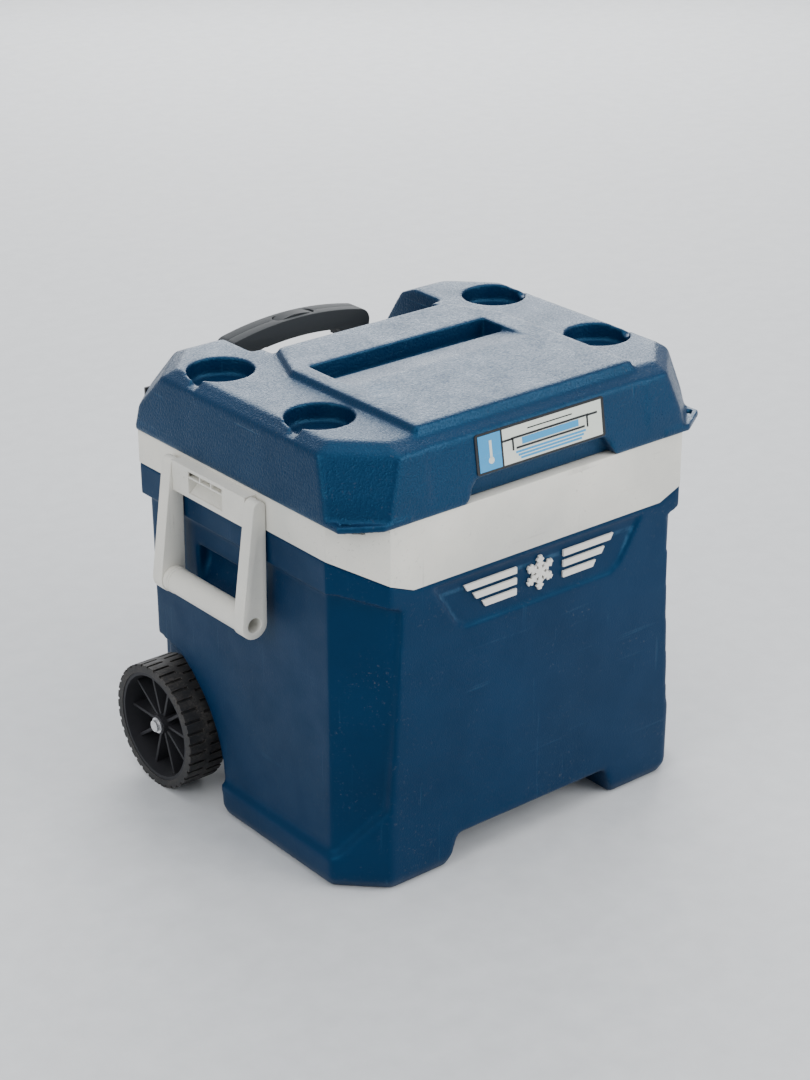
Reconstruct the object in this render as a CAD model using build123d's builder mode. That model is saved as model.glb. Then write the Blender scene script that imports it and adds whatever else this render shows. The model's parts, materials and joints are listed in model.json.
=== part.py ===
"""Wheeled hard cooler: foam-filled tub, hinged lid, side bails, telescoping tow handle and axle.

Frame: X runs along the front face, Y points from the front to the rear, Z is up, and the
origin lies on the ground in the middle of the footprint.  Every value is in millimetres.
"""
from build123d import *
import os

# ---------------------------------------------------------------- driving dimensions
BODY_Y = -8.8            # the tub's middle, ahead of the origin by half the tow handle's depth
HALF_WIDTH = 242.0       # tub half width under the collar
HALF_DEPTH = 208.5       # tub half depth under the collar
CORNER_CUT = 45.0        # 45 degree cut across each vertical corner
FOOT_HALF_WIDTH = 241.0
FOOT_HALF_DEPTH = 205.0
FOOT_BEVEL = 6.0
FOOT_BEVEL_HEIGHT = 12.0
RIM_Z = 413.0            # top of the tub and its collar
SHELL_WALL = 3.5
LINER_WALL = 2.5
FOAM_GAP = 0.3           # clearance kept round the foam fillings

CAVITY_HALF_X = 209.0
CAVITY_HALF_Y = 177.0
CAVITY_FLOOR_Z = 60.0
CAVITY_STEP_Z = 200.0    # below this height the cavity steps in over the axle
CAVITY_STEP_HALF_X = 160.0
CAVITY_STEP_FRONT_Y = 12.0
CAVITY_STEP_REAR_Y = 108.0
CAVITY_CORNER = 24.0
TOWER_HALF_X = 118.0     # solid block behind the cavity that carries the tow handle
TOWER_FRONT_Y = 120.0

PANEL_INSET = 7.0        # side and corner panels sit this far in
PANEL_TOP_Z = 340.0
PANEL_BOTTOM_Z = 38.0
PANEL_FRONT_TOP = (182.0, 321.0)
PANEL_FRONT_BOTTOM = (196.0, 96.0)

COLLAR_WALL = 4.0
COLLAR_SIDE_Z = 376.0    # lower edge of the collar on the sides
COLLAR_CORNER_Z = 352.0
COLLAR_FRONT_Z = 340.0
COLLAR_FRONT_HALF_X = 168.0
COLLAR_PLATE = 5.0
LINER_FLANGE = 17.0

BADGE_TOP_HALF_X = 144.0
BADGE_BOTTOM_HALF_X = 100.0
BADGE_TOP_Z = 334.0
BADGE_BOTTOM_Z = 277.0
BADGE_DEPTH = 2.5

ARCH_HALF_X = 105.0
ARCH_FOOT_HALF_X = 119.0
ARCH_Z = 35.0
REAR_CLEARANCE_Z = 45.0
REAR_CLEARANCE_Y = 45.0

WHEEL_Y = 136.7          # axle, from the tub's middle
WHEEL_RADIUS = 72.0
WHEEL_OUTER_X = 259.0
WHEEL_WIDTH = 46.0
WELL_WALL_X = 198.0
TYRE_DEPTH = 9.0
SPOKE_COUNT = 10
TREAD_COUNT = 36
AXLE_RADIUS = 5.0
AXLE_GROOVE_HALF = 12.3
AXLE_GROOVE_TOP_Z = 84.0

HANDLE_CHANNEL_HALF_X = 106.0
HANDLE_CHANNEL_Y = 198.0
TUBE_X = 80.0
TUBE_Y = 212.0
OUTER_TUBE_RADIUS = 11.1
MID_TUBE_RADIUS = 9.2
INNER_TUBE_RADIUS = 7.4
TUBE_WALL = 1.0
SLIDE_GAP = 0.35
STAGE_TRAVEL = 260.0

LID_Z = 413.5
LID_FLANGE_Z = 419.0
LID_WALL = 3.0
LID_SHOULDER_Z = 481.0
LID_TOP_Z = 491.0
PANEL_Z = 499.0
PANEL_HALF_X = 144.0
CUP_RADIUS = 37.0
CUP_X = 187.0
CUP_Y = 85.0
CUP_DEPTH = 20.0
NOTCH_HALF_X = 130.0
NOTCH_THROUGH_HALF_X = 106.0
NOTCH_THROUGH_Y = 134.0
NOTCH_TOP_Y = 78.0
HINGE_Y = 216.0
HINGE_Z = 404.0

NOTCH_FRONT_HALF_X = 116.0
NOTCH_SLOPE = 56.0
NOTCH_FLOOR_Z = 428.0
LID_PAN_Z = 415.5        # underside of the lid's pan
PLUG_Z = 405.0
PLUG_GAP = 6.0
HINGE_X = 172.0
HINGE_PIN_RADIUS = 2.5
HINGE_KNUCKLE_RADIUS = 5.4
SCREW_RADIUS = 2.1
SCREW_HEAD_RADIUS = 4.0
HANDLE_TOP_Z = 410.0
HANDLE_REAR_Y = 227.0
BEZEL_HEIGHT = 34.0
GRIP_FOOT_Z = 436.0
GRIP_TOP_Z = 475.5
GRIP_FRONT_Y = 198.5
GRIP_REAR_Y = 225.5
BUTTON_FLOOR_Z = 462.0
BUTTON_BASE_Z = 466.5
AXLE_HALF_LENGTH = 257.0

BAIL_Y = 14.0            # middle of the side bails, from the tub's middle
BAIL_PIVOT_X = 250.3
BAIL_PIVOT_Z = 402.0
BAIL_HALF_GAP = 65.0
BAIL_ARM = 16.5
BAIL_PIVOT_RADIUS = 7.5
BAIL_GRIP_X = 260.5
BAIL_GRIP_Z = 276.0
BAIL_END_RADIUS = 15.5
BAIL_GRIP_RADIUS = 13.8
BAIL_CORE_RADIUS = 10.0
BAIL_PIN_RADIUS = 4.0
PIN_CLEARANCE = 0.06

DRAIN_Y = -110.0
DRAIN_Z = 84.0
DRAIN_RADIUS = 10.0

os.makedirs("parts", exist_ok=True)


# ---------------------------------------------------------------- shared shapes
def level(z):
    """Horizontal plane at height z, centred on the tub."""
    return Plane(origin=(0, BODY_Y, z))


def upright(y):
    """Plane facing the front, at y from the tub's middle; its X is the object's X, its Y is up."""
    return Plane(origin=(0, BODY_Y + y, 0), x_dir=(1, 0, 0), z_dir=(0, -1, 0))


def sideways(x):
    """Plane facing +X at x; its X runs to the rear from the tub's middle, its Y is up."""
    return Plane(origin=(x, BODY_Y, 0), x_dir=(0, 1, 0), z_dir=(1, 0, 0))


def octagon(half_x, front, rear, cut):
    """Plan outline with four cut corners, as a list of points."""
    return [
        (-half_x, -front + cut),
        (-half_x + cut, -front),
        (half_x - cut, -front),
        (half_x, -front + cut),
        (half_x, rear - cut),
        (half_x - cut, rear),
        (-half_x + cut, rear),
        (-half_x, rear - cut),
    ]


def stacked_loft(stations):
    """Solid through octagons given as (z, half_x, front, rear, cut)."""
    with BuildPart() as form:
        for low, high in zip(stations, stations[1:]):
            for z, half_x, front, rear, cut in (low, high):
                with BuildSketch(level(z)):
                    Polygon(*octagon(half_x, front, rear, cut), align=None)
            loft(ruled=True)
    return form.part


def export(piece, name):
    """Label one finished piece and write its STEP file."""
    piece.label = name
    export_step(piece, f"parts/{name}.step")


def handle_channel(inset, low, high):
    """Upright channel in the rear face that the tow handle's tubes stand in."""
    with BuildPart() as channel:
        with BuildSketch(level(low)):
            with Locations((0, HANDLE_CHANNEL_Y + 20 - inset)):
                Rectangle(2 * (HANDLE_CHANNEL_HALF_X + inset), 40)
        extrude(amount=high - low)
    return channel.part


def side_panels(inset):
    """Shallow inset panels that wrap from the sides over the corners, as a cutting tool."""
    core = stacked_loft([
        (-1, FOOT_HALF_WIDTH - PANEL_INSET - inset, FOOT_HALF_DEPTH - PANEL_INSET - inset,
         FOOT_HALF_DEPTH - PANEL_INSET - inset, CORNER_CUT),
        (RIM_Z + 1, HALF_WIDTH - PANEL_INSET - inset, HALF_DEPTH - PANEL_INSET - inset,
         HALF_DEPTH - PANEL_INSET - inset, CORNER_CUT),
    ])
    with BuildPart() as panels:
        with BuildSketch(upright(-HALF_DEPTH - 5)):
            Polygon(
                (PANEL_FRONT_TOP[0] - inset, PANEL_FRONT_TOP[1] + inset),
                (PANEL_FRONT_BOTTOM[0] - inset, PANEL_FRONT_BOTTOM[1] - inset),
                (FOOT_HALF_WIDTH - PANEL_INSET, PANEL_BOTTOM_Z - inset),
                (HALF_WIDTH + 20, PANEL_BOTTOM_Z - inset),
                (HALF_WIDTH + 20, PANEL_TOP_Z + inset),
                (HALF_WIDTH - PANEL_INSET, PANEL_TOP_Z + inset),
                align=None,
            )
        extrude(amount=-2 * HALF_DEPTH - 10)
        mirror(about=Plane.YZ)
        add(core, mode=Mode.SUBTRACT)
    return panels.part


def wheel_wells(inset):
    """Spaces over the two wheels, open outwards, downwards and to the rear."""
    with BuildPart() as wells:
        with BuildSketch(sideways(WELL_WALL_X - inset)):
            with BuildLine():
                Line((33 - inset, -5), (41 - inset, 53))
                ThreePointArc((41 - inset, 53), (68 - inset, 124 + inset), (114, 164 + inset))
                Line((114, 164 + inset), (230, 192 + inset))
                Line((230, 192 + inset), (230, -5))
                Line((230, -5), (33 - inset, -5))
            make_face()
        extrude(amount=80)
        mirror(about=Plane.YZ)
    return wells.part


def underside(inset):
    """Arch between the front feet, raised rear and the groove that the axle lies in."""
    with BuildPart() as relief:
        with BuildSketch(upright(-HALF_DEPTH - 5)):
            Polygon(
                (-ARCH_FOOT_HALF_X - inset, -5),
                (-ARCH_HALF_X - inset, ARCH_Z + inset),
                (ARCH_HALF_X + inset, ARCH_Z + inset),
                (ARCH_FOOT_HALF_X + inset, -5),
                align=None,
            )
        extrude(amount=-2 * HALF_DEPTH - 10)
        with BuildSketch(sideways(-WELL_WALL_X - 1)):
            with Locations((REAR_CLEARANCE_Y + 100 - inset, 0)):
                Rectangle(200, 2 * (REAR_CLEARANCE_Z + inset))
            with Locations((WHEEL_Y, 0)):
                Rectangle(2 * (AXLE_GROOVE_HALF + inset), 2 * (AXLE_GROOVE_TOP_Z + inset))
        extrude(amount=2 * WELL_WALL_X + 2)
    return relief.part


def hand_pockets(inset):
    """Finger pockets in the two sides, behind the bails."""
    with BuildPart() as pockets:
        with BuildSketch(upright(BAIL_Y - 55 - inset)):
            Polygon(
                (HALF_WIDTH + 5, 312 + inset),
                (219 - inset, 310 + inset),
                (219 - inset, 296),
                (236 - inset, 252 - inset),
                (HALF_WIDTH + 5, 252 - inset),
                align=None,
            )
        extrude(amount=-110 - 2 * inset)
        mirror(about=Plane.YZ)
    return pockets.part


def tub_form(inset):
    """Outer form of the tub, moved in by inset on every side."""
    form = stacked_loft([
        (inset, FOOT_HALF_WIDTH - FOOT_BEVEL - inset, FOOT_HALF_DEPTH - FOOT_BEVEL - inset,
         FOOT_HALF_DEPTH - FOOT_BEVEL - inset, CORNER_CUT),
        (FOOT_BEVEL_HEIGHT + inset, FOOT_HALF_WIDTH - inset, FOOT_HALF_DEPTH - inset,
         FOOT_HALF_DEPTH - inset, CORNER_CUT),
        (RIM_Z - COLLAR_PLATE - FOAM_GAP, HALF_WIDTH - inset, HALF_DEPTH - inset,
         HALF_DEPTH - inset, CORNER_CUT),
    ])
    with BuildPart() as tub:
        add(form)
        add(side_panels(inset), mode=Mode.SUBTRACT)
        add(wheel_wells(inset), mode=Mode.SUBTRACT)
        add(underside(inset), mode=Mode.SUBTRACT)
        add(hand_pockets(inset), mode=Mode.SUBTRACT)
        add(handle_channel(inset, -5, RIM_Z), mode=Mode.SUBTRACT)
    return tub.part


def cavity_outline(grow, low, high):
    """Upper cavity, grown sideways by grow: a rectangle that steps round the handle tower."""
    with BuildPart() as form:
        with BuildSketch(level(low)):
            RectangleRounded(2 * (CAVITY_HALF_X + grow), 2 * (CAVITY_HALF_Y + grow), CAVITY_CORNER)
            with Locations((0, TOWER_FRONT_Y + grow + 100)):
                Rectangle(2 * (TOWER_HALF_X - grow), 200, mode=Mode.SUBTRACT)
        extrude(amount=high - low)
    return form.part


def cavity_form(grow, top_z):
    """Whole cavity up to top_z: it steps in over the wheels and the axle."""
    with BuildPart() as form:
        with BuildSketch(level(CAVITY_FLOOR_Z - grow)):
            front = -CAVITY_HALF_Y - grow
            with Locations((0, (front + CAVITY_STEP_FRONT_Y + grow) / 2)):
                RectangleRounded(
                    2 * (CAVITY_HALF_X + grow), CAVITY_STEP_FRONT_Y + grow - front, CAVITY_CORNER
                )
            with Locations((0, (front + CAVITY_STEP_REAR_Y + grow) / 2)):
                RectangleRounded(
                    2 * (CAVITY_STEP_HALF_X + grow),
                    CAVITY_STEP_REAR_Y + grow - front,
                    CAVITY_CORNER,
                )
        extrude(amount=CAVITY_STEP_Z - CAVITY_FLOOR_Z + grow)
        add(cavity_outline(grow, CAVITY_STEP_Z - grow, top_z))
    return form.part


def rim_form(inset, low, high):
    """Plain upright form with the collar's outline."""
    form = stacked_loft([
        (low, HALF_WIDTH - inset, HALF_DEPTH - inset, HALF_DEPTH - inset, CORNER_CUT),
        (high, HALF_WIDTH - inset, HALF_DEPTH - inset, HALF_DEPTH - inset, CORNER_CUT),
    ])
    with BuildPart() as rim:
        add(form)
        add(handle_channel(inset, low - 1, high + 1), mode=Mode.SUBTRACT)
    return rim.part


def below_collar(gap):
    """Everything under the collar's lower edge, which dips across the front."""
    with BuildPart() as under:
        with BuildSketch(upright(-HALF_DEPTH - 5)):
            Polygon(
                (-260, 200),
                (-260, COLLAR_SIDE_Z + gap),
                (-HALF_WIDTH, COLLAR_SIDE_Z + gap),
                (-HALF_WIDTH + CORNER_CUT, COLLAR_CORNER_Z + gap),
                (-COLLAR_FRONT_HALF_X, COLLAR_FRONT_Z + gap),
                (COLLAR_FRONT_HALF_X, COLLAR_FRONT_Z + gap),
                (HALF_WIDTH - CORNER_CUT, COLLAR_CORNER_Z + gap),
                (HALF_WIDTH, COLLAR_SIDE_Z + gap),
                (260, COLLAR_SIDE_Z + gap),
                (260, 200),
                align=None,
            )
        extrude(amount=-CORNER_CUT - 5)
        with BuildSketch(upright(-HALF_DEPTH + CORNER_CUT)):
            with Locations((0, (COLLAR_SIDE_Z + gap + 200) / 2)):
                Rectangle(520, COLLAR_SIDE_Z + gap - 200)
        extrude(amount=-2 * HALF_DEPTH)
    return under.part


# ---------------------------------------------------------------- tub
shell_outer = tub_form(0)
shell_inner = tub_form(SHELL_WALL)
collar_outer = rim_form(0, 330, RIM_Z)
collar_inner = rim_form(COLLAR_WALL, 329, RIM_Z - COLLAR_PLATE)
collar_under = below_collar(0)

with BuildPart() as collar_space:
    add(rim_form(-2, 330, RIM_Z))
    add(rim_form(COLLAR_WALL + FOAM_GAP, 329, RIM_Z + 1), mode=Mode.SUBTRACT)
    add(below_collar(-FOAM_GAP), mode=Mode.SUBTRACT)

with BuildPart() as badge_recess:
    with BuildSketch(upright(-HALF_DEPTH - 5)):
        Polygon(
            (-BADGE_TOP_HALF_X, BADGE_TOP_Z),
            (-BADGE_BOTTOM_HALF_X - 14, BADGE_BOTTOM_Z + 9),
            (-BADGE_BOTTOM_HALF_X, BADGE_BOTTOM_Z),
            (BADGE_BOTTOM_HALF_X, BADGE_BOTTOM_Z),
            (BADGE_BOTTOM_HALF_X + 14, BADGE_BOTTOM_Z + 9),
            (BADGE_TOP_HALF_X, BADGE_TOP_Z),
            align=None,
        )
    extrude(amount=-5 - BADGE_DEPTH - 1.0)

with BuildPart() as thick_rim:
    add(rim_form(-2, 325, RIM_Z))
    add(rim_form(COLLAR_WALL + FOAM_GAP + SHELL_WALL, 324, RIM_Z + 1), mode=Mode.SUBTRACT)

with BuildPart() as hollow:
    add(shell_inner)
    add(thick_rim.part, mode=Mode.SUBTRACT)

with BuildPart() as drain_way:
    with BuildSketch(sideways(CAVITY_HALF_X - 10)):
        with Locations((DRAIN_Y, DRAIN_Z)):
            Circle(DRAIN_RADIUS + 0.3)
    extrude(amount=60)

with BuildPart() as outer_shell:
    add(shell_outer)
    add(hollow.part, mode=Mode.SUBTRACT)
    add(collar_space.part, mode=Mode.SUBTRACT)
    add(badge_recess.part, mode=Mode.SUBTRACT)
    add(drain_way.part, mode=Mode.SUBTRACT)
export(outer_shell.part, "outer_shell")

liner_outer = cavity_form(LINER_WALL, RIM_Z - 1)
with BuildPart() as inner_liner:
    add(liner_outer)
    add(cavity_outline(LINER_FLANGE, RIM_Z - LINER_WALL, RIM_Z))
    add(cavity_form(0, RIM_Z + 1), mode=Mode.SUBTRACT)
    add(drain_way.part, mode=Mode.SUBTRACT)
export(inner_liner.part, "inner_liner")

foam_limit = tub_form(SHELL_WALL + FOAM_GAP)
with BuildPart() as foam_core:
    add(foam_limit)
    add(thick_rim.part, mode=Mode.SUBTRACT)
    with BuildSketch(level(RIM_Z - COLLAR_PLATE - FOAM_GAP)):
        Rectangle(600, 600)
    extrude(amount=20, mode=Mode.SUBTRACT)
    add(cavity_form(LINER_WALL + FOAM_GAP, RIM_Z + 1), mode=Mode.SUBTRACT)
    add(drain_way.part, mode=Mode.SUBTRACT)
export(foam_core.part, "foam_core")

with BuildPart() as collar_band:
    add(collar_outer)
    add(collar_inner, mode=Mode.SUBTRACT)
    add(collar_under, mode=Mode.SUBTRACT)
    add(cavity_outline(LINER_FLANGE + 0.3, RIM_Z - COLLAR_PLATE - 1, RIM_Z + 1), mode=Mode.SUBTRACT)
    for side in (-1, 1):
        with BuildSketch(upright(BAIL_Y - BAIL_HALF_GAP + 0.5)):
            with Locations((side * (HALF_WIDTH + 6.5), 393.2)):
                Rectangle(16, 33.6)
        extrude(amount=-2 * BAIL_HALF_GAP + 1)
        with BuildSketch(upright(BAIL_Y - BAIL_HALF_GAP - 1)):
            with Locations((side * BAIL_PIVOT_X, BAIL_PIVOT_Z)):
                Circle(BAIL_PIN_RADIUS + PIN_CLEARANCE)
        extrude(amount=-2 * BAIL_HALF_GAP - 2, mode=Mode.SUBTRACT)
        with BuildSketch(upright(BAIL_Y + 5 - 30)):
            Polygon(
                (side * (HALF_WIDTH + 16), 382),
                (side * (HALF_WIDTH + 12), 382),
                (side * (HALF_WIDTH + 2), 391),
                (side * (HALF_WIDTH + 2), 406),
                (side * (HALF_WIDTH + 16), 406),
                align=None,
            )
        extrude(amount=-60, mode=Mode.SUBTRACT)
        with BuildSketch(upright(BAIL_Y + 5 - 30)):
            with Locations((side * (HALF_WIDTH + 10), 399.5)):
                Rectangle(8, 1.8)
        extrude(amount=-60)
        with BuildSketch(level(399.5)):
            for y in (-10, 10):
                with Locations((side * (HALF_WIDTH + 8), BAIL_Y + 5 + y)):
                    Rectangle(12, 1.8)
        extrude(amount=7)
export(collar_band.part, "collar_band")

badge_middle_z = (BADGE_TOP_Z + BADGE_BOTTOM_Z) / 2 + 3
with BuildPart() as front_badge:
    with BuildSketch(upright(-HALF_DEPTH + BADGE_DEPTH + 0.8)):
        for angle in (0, 60, 120):
            with Locations((0, badge_middle_z)):
                Rectangle(4.5, 38, rotation=angle)
        with Locations((0, badge_middle_z)):
            with PolarLocations(12, 6, start_angle=30):
                Rectangle(11, 3, rotation=50)
                Rectangle(11, 3, rotation=-50)
        for side in (-1, 1):
            for row, length in ((12, 66), (0, 54), (-12, 42)):
                z = badge_middle_z + row
                Polygon(
                    (side * 32, z - 3.5),
                    (side * (32 + length), z - 3.5),
                    (side * (36 + length), z + 3.5),
                    (side * 32, z + 3.5),
                    align=None,
                )
    extrude(amount=2.4)
export(front_badge.part, "front_badge")


# ---------------------------------------------------------------- side bails
def make_bail(side):
    """Frame with two arms, pivot stubs and a hollow core, and the sleeve that the hand holds."""
    with BuildPart() as frame:
        for end in (-1, 1):
            with BuildSketch(upright(BAIL_Y + end * (BAIL_HALF_GAP + BAIL_ARM / 2) - BAIL_ARM / 2)):
                with Locations((side * BAIL_PIVOT_X, BAIL_PIVOT_Z)):
                    Circle(BAIL_PIVOT_RADIUS)
                with Locations((side * BAIL_GRIP_X, BAIL_GRIP_Z)):
                    Circle(BAIL_END_RADIUS)
                make_hull()
            extrude(amount=-BAIL_ARM)
            with BuildSketch(upright(BAIL_Y + end * (BAIL_HALF_GAP - 4) - 4)):
                with Locations((side * BAIL_PIVOT_X, BAIL_PIVOT_Z)):
                    Circle(BAIL_PIN_RADIUS)
            extrude(amount=-8.5)
        with BuildSketch(upright(BAIL_Y - BAIL_HALF_GAP - 1)):
            with Locations((side * BAIL_GRIP_X, BAIL_GRIP_Z)):
                Circle(BAIL_CORE_RADIUS)
        extrude(amount=-2 * BAIL_HALF_GAP - 2)
        with BuildSketch(upright(BAIL_Y - BAIL_HALF_GAP - BAIL_ARM - 1)):
            with Locations((side * BAIL_GRIP_X, BAIL_GRIP_Z)):
                Circle(BAIL_CORE_RADIUS - 2)
        extrude(amount=-2 * (BAIL_HALF_GAP + BAIL_ARM + 1), mode=Mode.SUBTRACT)
    with BuildPart() as sleeve:
        with BuildSketch(upright(BAIL_Y - BAIL_HALF_GAP + 0.2)):
            with Locations((side * BAIL_GRIP_X, BAIL_GRIP_Z)):
                Circle(BAIL_GRIP_RADIUS)
                Circle(BAIL_CORE_RADIUS + 0.2, mode=Mode.SUBTRACT)
        extrude(amount=-2 * BAIL_HALF_GAP + 0.4)
    return frame.part, sleeve.part


for side, side_name in ((-1, "left"), (1, "right")):
    bail_frame, bail_sleeve = make_bail(side)
    export(bail_frame, f"bail_frame_{side_name}")
    export(bail_sleeve, f"bail_grip_{side_name}")


# ---------------------------------------------------------------- lid
def lid_form(inset, low):
    """Outer form of the lid, moved in by inset, from height low upwards."""
    shell = stacked_loft([
        (low, 243.5 - inset, 210 - inset, 210 - inset, CORNER_CUT),
        (LID_FLANGE_Z, 243.5 - inset, 210 - inset, 210 - inset, CORNER_CUT),
        (440, 241 - inset, 208 - inset, 210 - inset, 48),
        (LID_SHOULDER_Z, 235.5 - inset, 201 - inset, 182 - inset, 57),
        (LID_TOP_Z - inset, 219.5 - inset, 182 - inset, 158 - inset, 42),
    ])
    with BuildPart() as lid:
        add(shell)
        with BuildSketch(level(LID_TOP_Z - inset - 12)):
            Polygon(
                (-151 + inset, -190 + inset),
                (151 - inset, -190 + inset),
                (151 - inset, 20),
                (128 - inset, 70),
                (118 - inset, 90),
                (-118 + inset, 90),
                (-128 + inset, 70),
                (-151 + inset, 20),
                align=None,
            )
        extrude(amount=12 + PANEL_Z - LID_TOP_Z, taper=20)
        with BuildSketch(sideways(-PANEL_HALF_X - 3 - inset)):
            Polygon(
                (-212, LID_FLANGE_Z),
                (-210 + inset, LID_FLANGE_Z),
                (-200 + inset, 484),
                (-185 + inset, PANEL_Z - inset),
                (-185 + inset, PANEL_Z + 5),
                (-212, PANEL_Z + 5),
                align=None,
            )
        extrude(amount=2 * PANEL_HALF_X + 6 + 2 * inset, mode=Mode.SUBTRACT)
        with BuildSketch(level(LID_TOP_Z - CUP_DEPTH - inset)):
            with GridLocations(2 * CUP_X, 2 * CUP_Y, 2, 2):
                Circle(CUP_RADIUS - 1.5 + inset)
        extrude(amount=CUP_DEPTH + inset + 5, mode=Mode.SUBTRACT)
        with BuildSketch(sideways(-124 - inset)):
            Polygon(
                (-58 - inset, PANEL_Z + 5),
                (-58 - inset, PANEL_Z - inset),
                (-16 - inset, PANEL_Z - 6 - inset),
                (-14 - inset, PANEL_Z - 24 - inset),
                (16 + inset, PANEL_Z - 24 - inset),
                (17 + inset, PANEL_Z + 5),
                align=None,
            )
        extrude(amount=2 * (118 + inset), mode=Mode.SUBTRACT)
        with BuildSketch(upright(-215)):
            Polygon(
                (-101 - inset, LID_Z - 20),
                (-101 - inset, LID_Z),
                (-85 - inset, 436 + inset),
                (85 + inset, 436 + inset),
                (101 + inset, LID_Z),
                (101 + inset, LID_Z - 20),
                align=None,
            )
        extrude(amount=-19 - inset, mode=Mode.SUBTRACT)
        for half_x, near_y in ((NOTCH_HALF_X, 98), (NOTCH_FRONT_HALF_X, NOTCH_TOP_Y)):
            with BuildSketch(sideways(-half_x - inset)):
                Polygon(
                    (near_y + NOTCH_SLOPE - inset, NOTCH_FLOOR_Z - inset),
                    (near_y - inset, PANEL_Z + 5),
                    (230, PANEL_Z + 5),
                    (230, NOTCH_FLOOR_Z - inset),
                    align=None,
                )
            extrude(amount=2 * (half_x + inset), mode=Mode.SUBTRACT)
        with BuildSketch(level(LID_Z - 20)):
            with Locations((0, NOTCH_THROUGH_Y + 50 - inset)):
                Rectangle(2 * (NOTCH_THROUGH_HALF_X + inset), 100)
        extrude(amount=50, mode=Mode.SUBTRACT)
    return lid.part


with BuildPart() as lid_slab:
    with BuildSketch(level(LID_PAN_Z)):
        Rectangle(600, 600)
    extrude(amount=LINER_WALL)

with BuildPart() as lid_upper:
    with BuildSketch(level(LID_PAN_Z + LINER_WALL + FOAM_GAP)):
        Rectangle(600, 600)
    extrude(amount=100)

with BuildPart() as lid_shell:
    add(lid_form(0, LID_Z))
    add(lid_form(LID_WALL, LID_Z - 5), mode=Mode.SUBTRACT)
    for side in (-1, 1):
        with BuildSketch(level(LID_Z)):
            Polygon(
                (side * 243.4, -150),
                (side * 243.4, -186),
                (side * 205, -211),
                (side * 172, -211),
                (side * 172, -208.6),
                (side * 196.6, -208.6),
                (side * 242, -164.2),
                (side * 242, -150),
                align=None,
            )
            Polygon(
                (side * 237.5, -174),
                (side * 237.5, -182.5),
                (side * 212, -199.5),
                align=None,
                mode=Mode.SUBTRACT,
            )
        extrude(amount=6.5)
export(lid_shell.part, "lid_shell")

with BuildPart() as lid_liner:
    add(lid_form(LID_WALL + 0.2, LID_Z - 5))
    add(lid_slab.part, mode=Mode.INTERSECT)
    add(cavity_outline(-PLUG_GAP, PLUG_Z, LID_PAN_Z + 1))
    add(
        cavity_outline(-PLUG_GAP - LINER_WALL, PLUG_Z + LINER_WALL, LID_PAN_Z + 5),
        mode=Mode.SUBTRACT,
    )
export(lid_liner.part, "lid_liner")

with BuildPart() as lid_foam:
    add(lid_form(LID_WALL + FOAM_GAP, LID_Z - 5))
    add(lid_upper.part, mode=Mode.INTERSECT)
    add(
        cavity_outline(
            -PLUG_GAP - LINER_WALL - FOAM_GAP,
            PLUG_Z + LINER_WALL + FOAM_GAP,
            LID_PAN_Z + LINER_WALL + 1,
        )
    )
export(lid_foam.part, "lid_foam")

with BuildPart() as lid_gasket:
    add(cavity_outline(8, RIM_Z + 0.4, LID_PAN_Z))
    add(cavity_outline(2.5, RIM_Z, LID_PAN_Z + 1), mode=Mode.SUBTRACT)
export(lid_gasket.part, "lid_gasket")

label_plane = Plane(
    origin=(0, BODY_Y - 204.0, 458.7), x_dir=(1, 0, 0), z_dir=(0, -65, 10)
)
with BuildPart() as lid_label:
    with BuildSketch(label_plane):
        RectangleRounded(172, 42, 3)
    extrude(amount=0.8)
export(lid_label.part, "lid_label")


# ---------------------------------------------------------------- lid hinges
def cross_rod(x_low, x_high, y, z, radius):
    """Round solid along X between two stations."""
    with BuildPart() as rod:
        with BuildSketch(sideways(x_low)):
            with Locations((y, z)):
                Circle(radius)
        extrude(amount=x_high - x_low)
    return rod.part


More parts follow.
